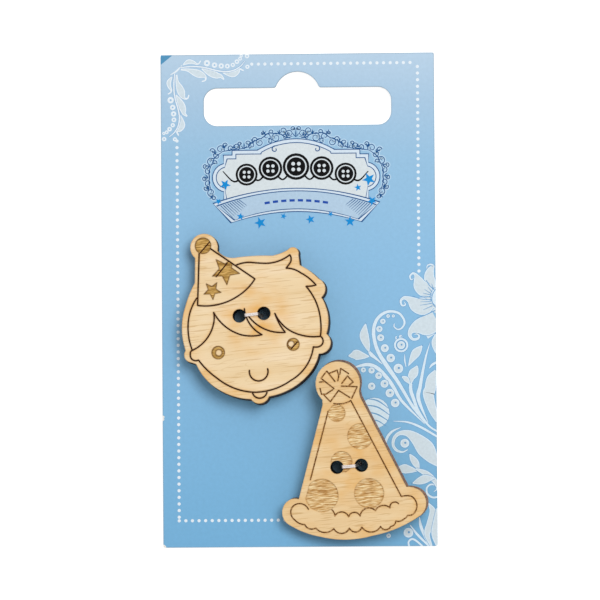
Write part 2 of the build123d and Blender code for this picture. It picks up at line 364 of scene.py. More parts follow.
def smooth(points, spacing):
    """Points on a smooth line through the given ones."""
    line = []
    ends = [2 * points[0] - points[1], *points, 2 * points[-1] - points[-2]]
    for before, start, stop, after in zip(ends, ends[1:], ends[2:], ends[3:]):
        steps = max(2, math.ceil((stop - start).length / spacing))
        for t in (step / steps for step in range(steps)):
            bend = 2 * before - 5 * start + 4 * stop - after
            swing = 3 * start - before - 3 * stop + after
            line.append(start + 0.5 * (t * (stop - before) + t**2 * bend + t**3 * swing))
    return line + [points[-1]]


def brush(stroke, spread=0.0):
    """A stroke of a round brush through points with their widths, as rungs across it."""
    line = smooth([Vector(point) for point in stroke], stroke_step)
    rungs = []
    for before, point, after in zip(line[:1] + line, line, line[1:] + line[-1:]):
        width = point.z + spread
        if width > finest_line:
            side = Vector((before.y - after.y, after.x - before.x)).normalized() * width / 2
            rungs.append((point.xy + side, point.xy - side))
    return rungs


pale_ink = printed_ink("grey_white_ink", "#cfdde5")
soft_blue_ink = printed_ink("soft_blue_ink", "#98bedd")
outline_ink = printed_ink("mid_blue_ink", "#6a9fcb")
dark_corner_ink = printed_ink("dark_blue_ink", "#4a8fb8")
flap = []
for along, down in corner_flap:
    flap.append((Vector((card_low.x, card_high.y - down)), Vector((card_low.x + along, card_high.y))))
flourish_marks = [(flap, dark_corner_ink), (brush(flourish_joint), white_ink)]
for spray in ("along_top", "down_side"):
    placed = []
    for stroke in [*flourish_leaves, flourish_stem, flourish_berries]:
        if spray == "along_top":
            turned = stroke
        else:
            turned = [(inward + side_shift, side_share * along, size) for along, inward, size in stroke]
        placed.append([(card_low.x + right, card_high.y - down, size) for right, down, size in turned])
    for leaf in placed[:-2]:
        flourish_marks += [(brush(leaf, leaf_shade), soft_blue_ink), (brush(leaf, leaf_edge), white_ink)]
        flourish_marks.append((brush(leaf, -leaf_rim), pale_ink))
    flourish_marks += [(brush(placed[-2], stem_edge), outline_ink), (brush(placed[-2]), white_ink)]
    for x, y, radius in placed[-1]:
        flourish_marks.append((disc(x, y, berry_ring * radius), white_ink))
        flourish_marks.append((disc(x, y, berry_eye * radius), soft_blue_ink))
print_on_card("corner_flourish", flourish_marks)

# Floral scrolls: a large flower, curling stems, leaves and berries that grow in from the card's right edge.
# They are printed in a bluish white with greyer insides and a thin darker blue line round each form.
scroll_stems = [
    [
        (16.4, -4.2, 0.15), (16.3, -4.7, 0.22), (16.9, -5.2, 0.25), (17.6, -5.0, 0.3), (18.1, -4.2, 0.35),
        (17.9, -3.3, 0.37), (17.1, -2.4, 0.4), (15.7, -2.1, 0.44), (14.4, -2.5, 0.5), (13.3, -3.6, 0.55),
        (12.8, -5.3, 0.6), (13.0, -7.3, 0.6), (13.7, -9.3, 0.64), (15.2, -11.7, 0.74), (16.9, -14.2, 0.6),
        (18.6, -17.1, 0.5), (19.6, -18.7, 0.5), (21.5, -21.3, 0.14),
    ],
    [
        (9.6, -11.6, 0.25), (10.8, -11.3, 0.5), (12.0, -11.2, 0.6), (13.4, -11.8, 0.64),
        (14.7, -13.1, 0.64), (15.9, -14.7, 0.64), (17.2, -17.0, 0.5), (18.5, -18.5, 0.43),
        (21.4, -21.4, 0.11),
    ],
    [
        (19.1, -14.2, 0.5), (19.1, -15.7, 0.6), (19.6, -17.2, 0.57), (20.4, -19.3, 0.46),
        (22.1, -21.7, 0.34), (23.7, -22.8, 0.3),
    ],
    [
        (22.5, -7.4, 0.05), (21.8, -9.6, 0.3), (21.2, -12.3, 0.44), (20.7, -15.0, 0.6), (20.4, -17.2, 0.64),
        (22.0, -21.2, 0.1),
    ],
    [(11.9, -8.8, 0.25), (12.4, -9.5, 0.64), (13.1, -10.1, 0.44), (14.2, -11.1, 0.15)],
    [(18.1, -9.5, 0.1), (18.1, -10.5, 0.25), (18.3, -11.6, 0.15)],
    [(23.5, -10.9, 0.4), (22.8, -11.3, 0.4), (22.3, -11.9, 0.12)],
    [(16.1, -20.9, 0.1), (18.5, -21.1, 0.3), (20.8, -22.0, 0.4), (23.7, -23.7, 0.34)],
    [(17.3, -22.0, 0.1), (15.8, -22.7, 0.4), (14.9, -23.9, 0.46), (14.7, -25.2, 0.34), (15.1, -26.4, 0.11)],
    [
        (23.6, -33.9, 0.3), (22.7, -34.0, 0.34), (21.8, -33.4, 0.34), (21.7, -32.4, 0.3),
        (22.3, -31.8, 0.3), (23.1, -31.9, 0.26), (23.4, -32.6, 0.2), (22.9, -33.0, 0.11),
    ],
    [(18.8, -38.7, 0.17), (20.1, -40.4, 0.4), (22.1, -42.4, 0.3)],
    [(20.4, -37.3, 0.1), (20.6, -38.8, 0.5), (21.3, -40.6, 0.45), (22.2, -42.4, 0.3)],
    [(18.6, -42.3, 0.3), (18.5, -41.6, 0.3), (19.0, -41.1, 0.32), (19.7, -41.3, 0.34), (20.9, -42.3, 0.3)],
]
scroll_leaves = [
    [(12.0, -9.0, 0.15), (11.7, -8.0, 1.0), (11.2, -6.3, 1.6), (11.3, -5.0, 0.9), (11.5, -4.0, 0.0)],
    [(12.0, -9.8, 0.2), (11.0, -9.7, 1.1), (9.8, -9.5, 1.8), (9.1, -9.6, 1.0), (8.3, -9.7, 0.0)],
    [(17.1, -7.3, 0.4), (16.7, -6.9, 0.3), (16.6, -6.5, 0.2), (16.8, -6.4, 0.1)],
    [(17.6, -7.0, 1.0), (17.3, -6.5, 0.34), (17.4, -6.2, 0.2), (17.7, -6.4, 0.1)],
    [(18.7, -11.5, 0.1), (19.3, -10.4, 0.9), (20.0, -9.3, 1.5), (20.6, -8.6, 1.0), (21.2, -7.9, 0.0)],
    [(19.1, -14.5, 0.34), (19.2, -13.5, 1.2), (19.6, -12.7, 1.6), (20.0, -12.0, 1.0), (20.3, -11.3, 0.0)],
    [(18.9, -14.5, 0.25), (18.3, -13.7, 0.9), (17.4, -13.2, 0.0)],
    [
        (23.4, -12.3, 0.5), (22.7, -13.7, 1.7), (22.4, -15.5, 1.95), (22.1, -16.4, 1.9), (22.8, -19.0, 1.4),
        (23.7, -21.0, 0.74),
    ],
    [
        (23.7, -28.7, 0.3), (22.7, -27.3, 2.0), (21.5, -25.6, 3.0), (19.9, -23.9, 2.0), (18.5, -23.0, 1.15),
        (17.1, -23.0, 0.7), (16.2, -23.8, 0.57), (16.0, -25.0, 0.5), (16.6, -25.9, 0.46),
        (17.6, -26.2, 0.3), (18.5, -25.8, 0.14),
    ],
    [(20.2, -29.4, 0.23), (18.7, -29.2, 1.3), (17.7, -29.0, 1.5), (16.7, -28.7, 0.0)],
    [(20.4, -29.3, 0.23), (19.9, -28.2, 1.15), (19.3, -27.3, 0.97), (18.7, -26.4, 0.0)],
    [(19.9, -29.1, 0.34), (21.6, -29.9, 0.97), (23.0, -31.1, 0.86), (23.6, -32.2, 0.57)],
    [(23.1, -30.7, 0.17), (21.6, -30.8, 1.4), (20.4, -31.2, 1.2), (19.1, -31.6, 0.0)],
    [(21.8, -34.7, 0.0), (22.7, -36.4, 1.15), (22.4, -38.4, 1.5), (21.7, -40.2, 1.0), (22.4, -42.3, 0.4)],
    [(23.6, -35.9, 0.57), (23.3, -37.9, 1.0), (23.0, -40.2, 1.15), (23.6, -42.2, 0.86)],
]
flower_petals = [
    [(23.5, -6.1, 0.5), (23.2, -7.6, 1.0), (23.4, -9.3, 0.2)],
    [(22.8, -3.9, 1.5), (22.4, -5.6, 1.95), (22.1, -6.8, 0.15)],
    [
        (23.6, -3.7, 3.2), (21.9, -4.5, 3.55), (20.4, -4.8, 2.45), (19.3, -5.4, 1.15), (19.0, -6.2, 0.64),
        (19.5, -6.9, 0.47), (20.4, -6.8, 0.42), (20.6, -6.3, 0.3), (20.2, -6.0, 0.22), (19.8, -6.1, 0.1),
    ],
    [
        (23.2, 1.3, 0.74), (22.6, 2.7, 1.8), (22.4, 4.0, 1.7), (22.7, 5.0, 1.15), (23.1, 5.6, 0.44),
        (22.7, 5.9, 0.3), (22.1, 5.7, 0.22), (22.0, 5.2, 0.12),
    ],
    [
        (23.1, 1.1, 0.6), (21.9, 1.4, 2.4), (20.9, 2.2, 2.4), (20.5, 3.2, 1.6), (20.1, 4.1, 0.6),
        (19.6, 4.4, 0.37), (19.1, 3.9, 0.3), (19.3, 3.3, 0.22), (19.7, 3.5, 0.1),
    ],
    [
        (23.0, -1.0, 1.23), (21.6, -1.3, 2.9), (20.2, -1.0, 2.65), (19.0, -0.1, 1.13), (18.1, 0.2, 0.6),
        (17.5, -0.3, 0.4), (17.7, -1.1, 0.32), (18.3, -1.0, 0.25), (18.1, -0.5, 0.1),
    ],
]
petal_veins = [
    [(23.1, 1.7, 0.15), (22.4, 2.3, 0.12), (21.9, 3.2, 0.1)],
    [(22.9, -0.2, 0.15), (21.6, -0.1, 0.12), (20.5, 0.1, 0.1), (19.6, 0.5, 0.07)],
    [(23.4, -2.0, 0.15), (22.1, -2.6, 0.15), (20.9, -3.1, 0.12), (20.2, -3.3, 0.07)],
    [(23.5, 1.7, 0.12), (23.0, 0.9, 0.15), (22.8, 0.0, 0.15), (23.0, -0.9, 0.15), (23.5, -1.5, 0.12)],
    [(22.9, 1.1, 0.14), (22.2, 2.0, 0.06)],
    [(23.2, 1.5, 0.14), (22.8, 2.6, 0.06)],
    [(22.8, 0.8, 0.14), (21.6, 1.6, 0.06)],
    [(22.8, 0.6, 0.14), (21.3, 1.0, 0.06)],
    [(22.7, 0.3, 0.14), (21.0, 0.5, 0.06)],
    [(22.7, -0.5, 0.14), (20.9, -0.5, 0.06)],
    [(22.8, -0.8, 0.14), (20.8, -1.1, 0.06)],
    [(22.9, -1.2, 0.14), (21.3, -1.9, 0.06)],
]
ball_stripes = [
    [(11.4, -17.0, 0.1), (13.4, -17.4, 0.23), (15.4, -18.8, 0.1)],
    [(11.2, -18.1, 0.1), (13.4, -18.5, 0.23), (15.5, -19.9, 0.1)],
    [(11.3, -19.3, 0.1), (13.3, -19.7, 0.23), (15.3, -20.9, 0.1)],
    [(11.8, -20.6, 0.1), (13.3, -20.8, 0.2), (14.8, -21.7, 0.1)],
]
berries = [
    (15.3, -2.9, 0.32), (16.2, -2.9, 0.27), (14.4, -3.8, 0.47), (13.8, -5.1, 0.54), (14.0, -6.6, 0.61),
    (14.7, -8.4, 0.69), (15.7, -10.1, 0.74), (17.0, -11.9, 0.83), (11.0, -12.1, 0.44), (12.4, -12.2, 0.54),
    (13.6, -13.1, 0.59), (14.6, -14.5, 0.69), (15.5, -16.1, 0.74), (12.4, -14.9, 0.64), (16.4, -17.8, 0.74),
    (18.0, -24.7, 0.77), (18.5, -40.0, 0.83), (15.1, -40.5, 0.4), (17.5, -7.9, 0.69),
]
striped_ball = (12.8, -19.5, 2.63)
ringed_bud = (17.5, -7.9, 1.23)
bud_ring = 0.9
petal_bed = (24.7, 0.35, 3.1)
flower_eye = (24.4, 0.4, 1.8)
berry_flesh = 0.68
berry_dot = 0.24
berry_dot_shift = 0.1
keyline = 0.16
petal_rim = 0.34
scroll_ink = printed_ink("blue_white_ink", "#d6e8f4")


def outlined_leaf(stroke):
    """A leaf or petal in its dark line, with a greyer inside."""
    passes = ((keyline, outline_ink), (0.0, scroll_ink), (-petal_rim, pale_ink))
    return [(brush(stroke, spread), ink) for spread, ink in passes]


def outlined_disc(x, y, radius):
    """A round form in its dark line."""
    return [(disc(x, y, radius + keyline / 2), outline_ink), (disc(x, y, radius), scroll_ink)]


scroll_marks = [(brush(stroke, keyline), outline_ink) for stroke in scroll_stems]
scroll_marks += [(brush(stroke), scroll_ink) for stroke in scroll_stems]
for stroke in scroll_leaves:
    scroll_marks += outlined_leaf(stroke)
scroll_marks += outlined_disc(*striped_ball) + outlined_disc(*ringed_bud)
scroll_marks += [(brush(stripe), outline_ink) for stripe in ball_stripes]
scroll_marks.append((disc(*ringed_bud[:2], bud_ring), outline_ink))
for x, y, radius in berries:
    scroll_marks += outlined_disc(x, y, radius)
    scroll_marks.append((disc(x, y, berry_flesh * radius), pale_ink))
    shift = berry_dot_shift * radius
    scroll_marks.append((disc(x + shift, y + shift, berry_dot * radius), outline_ink))
scroll_marks.append((disc(*petal_bed), pale_ink))
for stroke in flower_petals:
    scroll_marks += outlined_leaf(stroke)
scroll_marks += outlined_disc(*flower_eye)
scroll_marks += [(brush(vein), outline_ink) for vein in petal_veins]
print_on_card("floral_scrolls", scroll_marks)

# Label: a pale panel with an arched top and round ears, framed by a double blue line, on a curved ribbon.
# Its print is round sewing buttons on a thread, a running stitch, fine scrolls along the frame and stars.
label_x = -0.3
arch_radius = 12.4
arch_top = 27.6
ear_x, ear_y, ear_radius = 11.9, 21.1, 2.4
panel_foot_x, panel_foot_y = 12.4, 16.8
shoulder_steps = [(12.4, 24.9), (10.9, 24.9), (10.9, 25.7), (6.6, 25.7)]
frame_line = 0.15
frame_band = 0.5
panel_buttons = [
    (-8.5, 21.6, 1.9), (-4.4, 22.6, 2.05), (0.0, 22.9, 2.3), (4.4, 22.6, 2.05), (8.5, 21.6, 1.9),
]
panel_thread = [
    (-12.6, 22.2, 0.16), (-10.6, 20.4, 0.3), (-8.5, 21.6, 0.4), (-6.4, 20.6, 0.3), (-4.4, 22.6, 0.4),
    (-2.3, 20.7, 0.3), (0.0, 22.9, 0.4), (2.3, 20.7, 0.3), (4.4, 22.6, 0.4), (6.4, 20.6, 0.3),
    (8.5, 21.6, 0.4), (10.6, 20.4, 0.3), (12.4, 22.0, 0.16),
]
frame_curls = [  # right half: middle, radius, and the angles in degrees where a curl starts and ends
    (1.1, 28.6, 0.62, -100, 420), (2.2, 29.1, 0.5, 250, -160), (3.4, 27.9, 0.72, 140, -400),
    (5.0, 28.1, 0.55, 230, -120), (6.2, 27.1, 0.62, 120, -380), (7.6, 26.6, 0.5, -60, 360),
    (10.2, 26.4, 0.5, 240, -220), (11.2, 26.2, 0.42, -80, 330), (13.0, 26.0, 0.6, 200, -220),
    (13.6, 24.9, 0.5, 60, -330), (14.6, 23.8, 0.62, 130, -330), (15.1, 22.2, 0.5, 100, -300),
    (15.1, 20.2, 0.5, -100, 300), (14.6, 18.6, 0.62, -130, 330), (0.55, 29.4, 0.36, 200, -200),
    (1.9, 28.0, 0.4, 40, 420), (4.2, 28.9, 0.36, -40, 330), (4.5, 27.3, 0.42, 60, 420),
    (5.7, 28.6, 0.34, 200, -150), (7.0, 27.6, 0.4, -20, 340), (8.3, 27.0, 0.42, 240, -130),
    (9.6, 26.9, 0.34, -60, 300), (12.1, 26.7, 0.4, -50, 310), (14.3, 25.7, 0.4, 10, 370),
    (14.0, 23.7, 0.36, 200, -160), (15.6, 23.1, 0.34, -80, 280), (15.7, 20.9, 0.34, 80, -280),
    (15.4, 19.3, 0.38, 30, -330), (14.1, 17.7, 0.4, 60, -300),
]
panel_curl = (3.6, 25.9, 0.5, 100, -230)
frame_stems = [  # right half
    [(0.6, 28.1, 0.14), (1.6, 27.9, 0.22), (2.6, 28.5, 0.22), (3.3, 28.6, 0.14)],
    [(3.2, 28.5, 0.14), (4.6, 28.7, 0.22), (5.5, 28.1, 0.22), (6.1, 27.7, 0.14)],
    [(6.0, 27.8, 0.14), (7.4, 27.2, 0.22), (8.1, 26.4, 0.14)],
    [(8.0, 26.4, 0.14), (8.8, 26.2, 0.22), (9.7, 26.0, 0.14)],
    [(9.6, 26.0, 0.14), (10.5, 25.95, 0.22), (11.5, 25.8, 0.22), (12.6, 25.6, 0.14)],
    [(12.5, 25.7, 0.14), (13.9, 24.6, 0.22), (14.4, 23.6, 0.14)],
    [(14.4, 23.7, 0.14), (14.95, 22.2, 0.22), (14.9, 21.2, 0.24), (14.95, 20.2, 0.22), (14.5, 18.6, 0.14)],
]
frame_tufts = [  # right half: foot, heading in degrees and length
    (0.0, 28.0, 90, 1.2), (8.9, 26.0, 90, 1.1), (5.4, 28.5, 70, 0.8), (12.2, 26.2, 60, 0.8),
    (15.1, 21.2, 0, 1.0), (2.9, 28.6, 100, 0.7), (7.3, 27.0, 60, 0.8), (10.7, 26.1, 95, 0.7),
    (13.7, 25.3, 30, 0.8), (14.8, 23.0, 20, 0.7), (14.9, 19.4, -20, 0.7), (14.4, 18.0, -50, 0.7),
    (1.3, 28.2, 80, 0.7),
]
ribbon_top = (14.2, 16.6, 2.5)  # half of the width, level of the ends, and rise of the middle
ribbon_foot = (11.1, 13.4, 1.85)
ribbon_slant = 1.3
ribbon_band = 0.3
stitches = 8
stitch_reach = 5.0
stitch_level = 17.1
stitch_sag = 0.0155
stitch_length = 0.9
stitch_width = 0.42
ribbon_hatches = 9
hatch_ends = [  # right half: an end of the first hatch, the step to the next one, and the line's width
    ((13.0, 16.3), (-0.4, 0.12), 0.13),
    ((10.9, 14.2), (-0.3, 0.26), 0.05),
]
button_rims = (1.0, 0.8, 0.7)
button_hole_ring = 0.3
button_hole_size = 0.14
curl_scale = 1.25
curl_tightness = 0.75
curl_line = 0.2
curl_taper = 0.05
tuft_leaves = [(-42, 0.75), (0, 1.0), (42, 0.75)]  # lean in degrees and share of the length
tuft_foot_width, tuft_leaf_width, tuft_tip_width = 0.06, 0.2, 0.04
halo_spread = 0.34
line_shrink = -0.04
star_waist = 0.42
star_turn = 8  # degrees for each millimetre across, so that the stars stand differently
stars = [
    (-12.2, 19.9, 1.0), (-9.6, 14.4, 0.7), (-6.2, 13.3, 1.05), (-2.2, 14.4, 0.55), (2.4, 13.8, 0.8),
    (5.9, 14.7, 0.5), (9.2, 13.4, 0.95), (10.6, 19.2, 0.65), (12.5, 20.6, 1.2), (13.0, 16.9, 0.85),
    (-13.4, 17.0, 0.6),
]


def panel(inset):
    """The label's panel, as rungs from the foot behind its ribbon up to the top of its arch."""
    profile = [(panel_foot_x - inset, panel_foot_y)]
    for angle in (math.radians(turn) for turn in range(-78, 79, 12)):
        reach = ear_radius - inset
        profile.append((ear_x + reach * math.cos(angle), ear_y + reach * math.sin(angle)))
    profile += [(x - inset, y - inset) for x, y in shoulder_steps]
    for angle in (math.radians(turn) for turn in (30, 25, 20, 15, 10, 5, 1)):
        reach = arch_radius - inset
        profile.append((reach * math.sin(angle), arch_top - arch_radius + reach * math.cos(angle)))
    rungs = []
    for reach, level in profile:
        rungs.append((Vector((label_x - reach, level)), Vector((label_x + reach, level))))
    return rungs


def ribbon(inset):
    """The curved ribbon under the panel, as rungs from its left end to its right end."""
    rungs = []
    for share in (step / 12 for step in range(-12, 13)):
        arch = 1 - share**2
        rung = []
        for (reach, level, rise), way in ((ribbon_top, -1), (ribbon_foot, 1)):
            along = label_x + (reach - ribbon_slant * inset) * share
            rung.append(Vector((along, level + rise * arch + way * inset)))
        rungs.append(rung)
    return rungs


def curl(side, x, y, radius, start, stop):
    """A stroke that winds in to the middle of a curl, on the right or the left half of the label."""
    stroke = []
    for share in (step / 8 for step in range(9)):
        angle = math.radians(start + share * (stop - start))
        reach = curl_scale * radius * (1 - curl_tightness * share)
        along = label_x + side * (x + reach * math.cos(angle))
        stroke.append((along, y + reach * math.sin(angle), curl_line - curl_taper * share))
    return stroke


def tuft(side, x, y, heading, length):
    """Three small leaves that fan out from one point of the label's frame."""
    leaves = []
    for lean, share in tuft_leaves:
        angle = math.radians(heading + lean)
        leaf = []
        widths = (tuft_foot_width, tuft_leaf_width * share, tuft_tip_width)
        for reach, width in zip((0.0, 0.5, 1.0), widths):
            along = x + reach * share * length * math.cos(angle)
            leaf.append((label_x + side * along, y + reach * share * length * math.sin(angle), width))
        leaves.append(leaf)
    return leaves


def star(x, y, radius):
    """A five-pointed star, as five kites that meet in its middle."""
    kites = []
    middle = Vector((x, y))
    for point in range(5):
        angle = math.radians(90 + 72 * point + star_turn * x)
        corners = []
        for reach, swing in ((radius, 0), (star_waist * radius, 36), (star_waist * radius, -36)):
            heading = angle + math.radians(swing)
            corners.append(middle + reach * Vector((math.cos(heading), math.sin(heading))))
        tip, left, right = corners
        kites.append([(middle, middle), (left, right), (tip, tip)])
    return kites


line_ink = printed_ink("line_blue_ink", "#104f88", 0.1)
halo_ink = printed_ink("sky_blue_ink", "#b4d3ea")
ribbon_ink = printed_ink("ribbon_blue_ink", "#b0cae0")
band_ink = printed_ink("pale_blue_ink", "#d2e1ee")
star_ink = printed_ink("bright_blue_ink", "#0e8cd4", 0.1)
stitch_ink = printed_ink("deep_blue_ink", "#1d4aa6", 0.1)
black_ink = printed_ink("process_black_ink", "#0a0a0c", 0.05)
panel_ink = printed_ink("panel_white_ink", "#d6dfe3")


def framed(shape, band, ground):
    """The panel or the ribbon in its frame: a line, a pale band, a second line and the ground inside."""
    insets = ((-frame_line, line_ink), (0.0, band_ink), (band, line_ink), (band + frame_line, ground))
    return [(shape(inset), ink) for inset, ink in insets]


label_marks = []
for spread, ink in ((halo_spread, halo_ink), (line_shrink, line_ink)):
    for side in (-1, 1):
        label_marks += [(brush(curl(side, *row), spread), ink) for row in frame_curls]
        for stem in frame_stems:
            placed_stem = [(label_x + side * x, y, width) for x, y, width in stem]
            label_marks.append((brush(placed_stem, spread), ink))
for side in (-1, 1):
    for row in frame_tufts:
        if side == 1 or row[0]:
            label_marks += [(brush(leaf), line_ink) for leaf in tuft(side, *row)]
label_marks += framed(panel, frame_band, panel_ink)
label_marks += [(brush(curl(side, *panel_curl)), line_ink) for side in (-1, 1)]
label_marks.append((brush([(label_x + x, y, width) for x, y, width in panel_thread]), black_ink))
for x, y, radius in panel_buttons:
    for share, ink in zip(button_rims, (black_ink, panel_ink, black_ink)):
        label_marks.append((disc(label_x + x, y, share * radius), ink))
    for angle in (math.radians(45 + 90 * quarter) for quarter in range(4)):
        hole_x = label_x + x + button_hole_ring * radius * math.cos(angle)
        hole_y = y + button_hole_ring * radius * math.sin(angle)
        label_marks.append((disc(hole_x, hole_y, button_hole_size * radius), panel_ink))
label_marks += framed(ribbon, ribbon_band, ribbon_ink)
for index in range(stitches):
    middle = (2 * index / (stitches - 1) - 1) * stitch_reach
    dash = []
    for x in (middle - stitch_length / 2, middle, middle + stitch_length / 2):
        dash.append((label_x + x, stitch_level - stitch_sag * x**2, stitch_width))
    label_marks.append((brush(dash), stitch_ink))
for index in range(ribbon_hatches):
    for side in (-1, 1):
        hatch = []
        for (x, y), (step_x, step_y), width in hatch_ends:
            hatch.append((label_x + side * (x + index * step_x), y + index * step_y, width))
        label_marks.append((brush(hatch), line_ink))
for x, y, radius in stars:
    label_marks += [(kite, star_ink) for kite in star(label_x + x, y, radius)]
print_on_card("label", label_marks)

# Buttons: a face in a party hat and a party hat, laser-cut from 3 mm wood, scored and engraved on top.
# The laser chars the cut walls, browns the wood in patches beside the cuts and round the sewing holes, and
# leaves fine streaks where it engraved. Painted shade darkens the face's cut walls and the walls of the
# sewing holes, and, with real burn, the engraved floors beside their walls.
button_tones = {  # bare, engraved, scored and cut wood from dark to light, and the strength of the singe
    "face": (
        ("#ebcea0", "#f0d6ac", "#f5debb"),
        ("#7d5620", "#ba9049", "#e4bb72"),
        ("#2a1000", "#421c03", "#5c300a"),
        # cut walls: near black on the face as painted shade, for walls turned from the lamp; brown on the
        # hat
        ("#1a100a", "#2c1d13", "#473325"),
        0.5,
    ),
    "hat": (
        ("#e9c694", "#eecf9f", "#f3d9ae"),
        ("#a5723a", "#d8ac6e", "#fae5b6"),
        ("#6d4218", "#a07038", "#d2aa74"),
        ("#6c4c38", "#8c6953", "#a6826d"),
        0.15,
    ),
}
engraved_depth = 0.06
scored_depth = 0.26
groove_depth = 0.5
scorch_reach = 2.8
smoke_reach = (2.0, 8.0)
singe_reach = 0.2
rim_shade_reach = 0.3
holes_level = 5.0
holes_reach = 4.8  # holds both sewing holes, but none of the button's outer walls
soot_depths = (0.2, 1.3)


def laser_cut_wood(button, holes, turn, bare, engraving, scoring, cutting, singe):
    """Bare close-grained hardwood: pale and matt, with fine wavy lines, charred where the laser cut it."""
    tops = [face for face in button.data.polygons if face.normal.z > 0.9]
    up = sum((face.area * face.normal for face in tops), Vector()).normalized()
    top = max(up.dot(vertex.co) for vertex in button.data.vertices)
    wood = bpy.data.materials.new("laser_cut_wood." + button.name)
    tree = empty_tree(wood)
    surface = add_node(tree, "NewGeometry")
    level = add_node(tree, "VectorMath", {"operation": "DOT_PRODUCT", 1: up}, {0: surface})
    depth = add_node(tree, "Math", {"operation": "SUBTRACT", 0: top}, {1: (level, "Value")})
    facing = add_node(
        tree, "VectorMath", {"operation": "DOT_PRODUCT", 1: up}, {0: (surface, "True Normal")}
    )
    patterns = {}
    # Each pattern's sizes run along the grain, across it and through the wood. Real fibres, pores and laser
    # streaks are finer, and these are drawn as coarse as they need to show.
    for pattern, sizes, detail in (
        ("figure", (40.0, 3.0, 9.0), 1.0),
        ("bands", (18.0, 2.2, 3.0), 2.0),
        ("fibres", (2.4, 0.14, 0.4), 2.0),
        ("pores", (4.6, 0.17, 0.6), 0.5),
        ("streaks", (1.5, 0.12, 0.6), 2.0),
        ("patches", (3.6, 2.6, 3.0), 1.5),
        ("char", (0.3, 0.3, 2.4), 2.0),
    ):
        spread = add_node(
            tree,
            "Mapping",
            {
                "vector_type": "TEXTURE",
                "Rotation": (0, 0, math.radians(turn)),
                "Scale": [size * mm for size in sizes],
            },
            {"Vector": surface},
        )
        patterns[pattern] = add_node(tree, "TexNoise", {"Scale": 1.0, "Detail": detail}, {"Vector": spread})
    ground = add_node(
        tree, "ValToRGB", {"stops": list(zip((0.3, 0.5, 0.7), bare))}, {"Fac": patterns["bands"]}
    )
    contours = add_node(tree, "Math", {"operation": "MULTIPLY", 1: 16.0}, {0: patterns["figure"]})
    ring = add_node(tree, "Math", {"operation": "PINGPONG", 1: 0.5}, {0: contours})
    line = add_node(
        tree,
        "MapRange",
        {"From Min": 0.0, "From Max": 0.07, "To Min": 0.28, "To Max": 0.0},
        {"Value": ring},
    )
    lined = add_node(tree, "MixRGB", {"Color2": linear("#cfa86c")}, {"Fac": line, "Color1": ground})
    pore = add_node(
        tree,
        "MapRange",
        {"From Min": 0.63, "From Max": 0.67, "To Min": 0.0, "To Max": 0.46},
        {"Value": patterns["pores"]},
    )
    grained = add_node(tree, "MixRGB", {"Color2": linear("#c1965b")}, {"Fac": pore, "Color1": lined})
    closeness = add_node(
        tree,
        "AmbientOcclusion",
        {"inside": True, "only_local": True, "samples": 8, "Distance": scorch_reach * mm},
    )
    near = add_node(
        tree,
        "MapRange",
        {"From Min": 1.0, "From Max": 0.5, "To Min": 0.0, "To Max": 0.75},
        {"Value": (closeness, "AO")},
    )
    patchy = add_node(
        tree,
        "MapRange",
        {"From Min": 0.38, "From Max": 0.66, "To Min": 0.15, "To Max": 0.8},
        {"Value": patterns["patches"]},
    )
    from_holes = add_node(tree, "VectorMath", {"operation": "DISTANCE", 1: holes * mm}, {0: surface})
    smoke = add_node(
        tree,
        "MapRange",
        {"From Min": smoke_reach[0] * mm, "From Max": smoke_reach[1] * mm, "To Min": 1.2, "To Max": 0.0},
        {"Value": (from_holes, "Value")},
    )
    stained = add_node(tree, "Math", {"operation": "MAXIMUM"}, {0: near, 1: smoke})
    scorch = add_node(tree, "Math", {"operation": "MULTIPLY"}, {0: stained, 1: patchy})
    scorched = add_node(tree, "MixRGB", {"Color2": linear("#e8b05e")}, {"Fac": scorch, "Color1": grained})
    edge = add_node(
        tree,
        "AmbientOcclusion",
        {"inside": True, "only_local": True, "samples": 8, "Distance": singe_reach * mm},
    )
    singed_edge = add_node(
        tree,
        "MapRange",
        {"From Min": 0.92, "From Max": 0.55, "To Min": 0.0, "To Max": singe},
        {"Value": (edge, "AO")},
    )
    singed = add_node(
        tree, "MixRGB", {"Color2": linear("#5e3512")}, {"Fac": singed_edge, "Color1": scorched}
    )
    burnt = add_node(
        tree, "ValToRGB", {"stops": list(zip((0.34, 0.5, 0.64), engraving))}, {"Fac": patterns["streaks"]}
    )
    # The engraved floors darken next to their walls: partly real burn, partly painted shade.
    corner = add_node(
        tree, "AmbientOcclusion", {"only_local": True, "samples": 8, "Distance": rim_shade_reach * mm}
    )
    rim = add_node(
        tree,
        "MapRange",
        {"From Min": 0.97, "From Max": 0.7, "To Min": 0.0, "To Max": 1.5 * singe},
        {"Value": (corner, "AO")},
    )
    engraving_with_rim_shade = add_node(tree, "MixRGB", {"Color2": linear("#5a3813")}, {"Fac": rim, "Color1": burnt})
    engraved = add_node(tree, "Math", {"operation": "GREATER_THAN", 1: engraved_depth * mm}, {0: depth})
    scored = add_node(tree, "Math", {"operation": "GREATER_THAN", 1: scored_depth * mm}, {0: depth})
    groove = add_node(
        tree, "ValToRGB", {"stops": list(zip((0.35, 0.5, 0.66), scoring))}, {"Fac": patterns["char"]}
    )
    charred = add_node(
        tree, "ValToRGB", {"stops": list(zip((0.3, 0.5, 0.7), cutting))}, {"Fac": patterns["char"]}
    )
    sooty = add_node(
        tree,
        "MapRange",
        {"From Min": soot_depths[0] * mm, "From Max": soot_depths[1] * mm, "To Min": 1.0, "To Max": 0.0},
        {"Value": depth},
    )
    wall = add_node(tree, "MixRGB", {"Color2": linear("#3b1d08")}, {"Fac": sooty, "Color1": charred})
